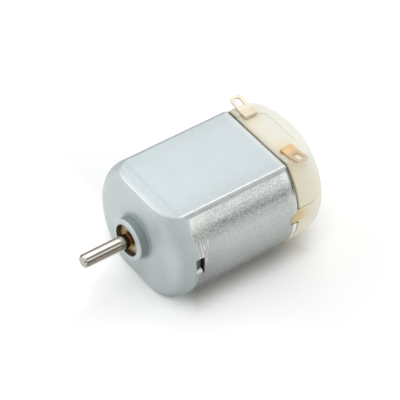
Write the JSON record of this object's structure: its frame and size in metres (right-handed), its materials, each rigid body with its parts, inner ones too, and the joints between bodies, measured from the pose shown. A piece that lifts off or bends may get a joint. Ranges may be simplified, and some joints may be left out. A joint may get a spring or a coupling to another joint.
{
  "type": "dc motor",
  "caption": "Small brushed dc motor: a flat-sided steel can with a plain output shaft, a cream plastic end cap and copper solder terminals.",
  "frame": {"origin": "on the shaft's axis, at the can's front face, which is the foot of the pilot boss", "axes": "+X along the shaft towards its free end, +Z out of the flat that the terminals stand on, so that the motor lies on its other flat"},
  "size_m": [0.0358, 0.02, 0.016],
  "materials": {
    "can": "zinc plated, satin",
    "bush": "sintered bronze, oil soaked",
    "cap": "moulded nylon, satin",
    "magnet": "fired ferrite, dull",
    "clip": "drawn wire",
    "terminal": "copper alloy strip, bright",
    "brush": "spring strip",
    "shaft": "ground and polished",
    "lamination": "punched sheet, oiled",
    "insulator": "fibre board",
    "winding": "enamelled copper wire",
    "sleeve": "moulded, dull",
    "segment": "copper, turned",
    "ring": "fibre",
    "washer": "fibre"
  },
  "bodies": {
    "housing": {"can": "can", "front_bush": "bush", "end_cap": "cap", "rear_bush": "bush", "magnet_near": "magnet", "magnet_far": "magnet", "magnet_clip": "clip", "terminal_near": "terminal", "terminal_far": "terminal", "brush_near": "brush", "brush_far": "brush"},
    "rotor": {"shaft": "shaft", "laminations": "lamination", "insulator_front": "insulator", "insulator_rear": "insulator", "coil_1": "winding", "coil_2": "winding", "coil_3": "winding", "commutator_sleeve": "sleeve", "commutator_segment_1": "segment", "commutator_segment_2": "segment", "commutator_segment_3": "segment", "commutator_ring": "ring", "spacer": "sleeve", "thrust_washer_front": "washer", "thrust_washer_rear": "washer"}
  },
  "joints": [
    {"name": "rotor_spin", "type": "hinge", "parent": "housing", "child": "rotor", "pos_m": [0, 0, 0], "axis": [1, 0, 0], "continuous": true}
  ]
}
